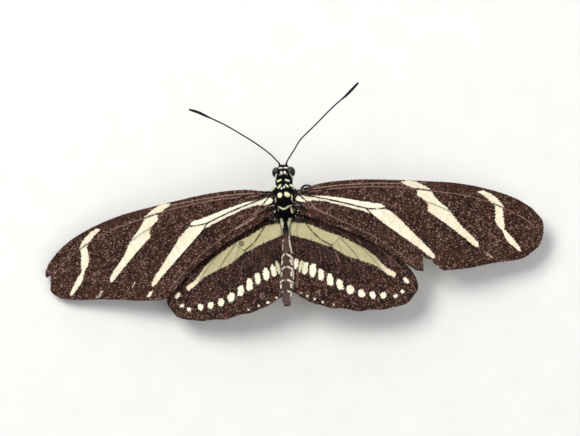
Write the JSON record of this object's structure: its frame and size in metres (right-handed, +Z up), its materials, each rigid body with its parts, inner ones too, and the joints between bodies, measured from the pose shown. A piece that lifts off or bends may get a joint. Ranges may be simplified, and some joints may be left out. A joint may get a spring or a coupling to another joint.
{
  "type": "zebra longwing butterfly",
  "caption": "Life-size black and pale yellow striped butterfly standing with its long narrow wings spread flat.",
  "frame": {"origin": "middle of the bounding box, on the floor that the feet stand on", "axes": "+X to the butterfly's right, along the spread wings; +Y forward, to the head; +Z up"},
  "size_m": [0.0892, 0.039, 0.0161],
  "materials": {
    "body": "black furry scales with pale yellow spots",
    "abdomen": "mauve-brown scales with thin white lines",
    "eye": "dark, glossy, finely faceted",
    "wing": "brown-black dusty scales with cream bands",
    "limb": "black, satin"
  },
  "bodies": {
    "root": {"head": "body", "thorax": "body", "abdomen": "abdomen", "eye_left": "eye", "eye_right": "eye", "antenna_left": "limb", "antenna_right": "limb", "palp_left": "body", "palp_right": "body", "proboscis": "limb", "forewing_left": "wing", "forewing_right": "wing", "hindwing_left": "wing", "hindwing_right": "wing", "leg_fore_left": "limb", "leg_fore_right": "limb", "leg_middle_left": "limb", "leg_middle_right": "limb", "leg_hind_left": "limb", "leg_hind_right": "limb"}
  },
  "joints": []
}
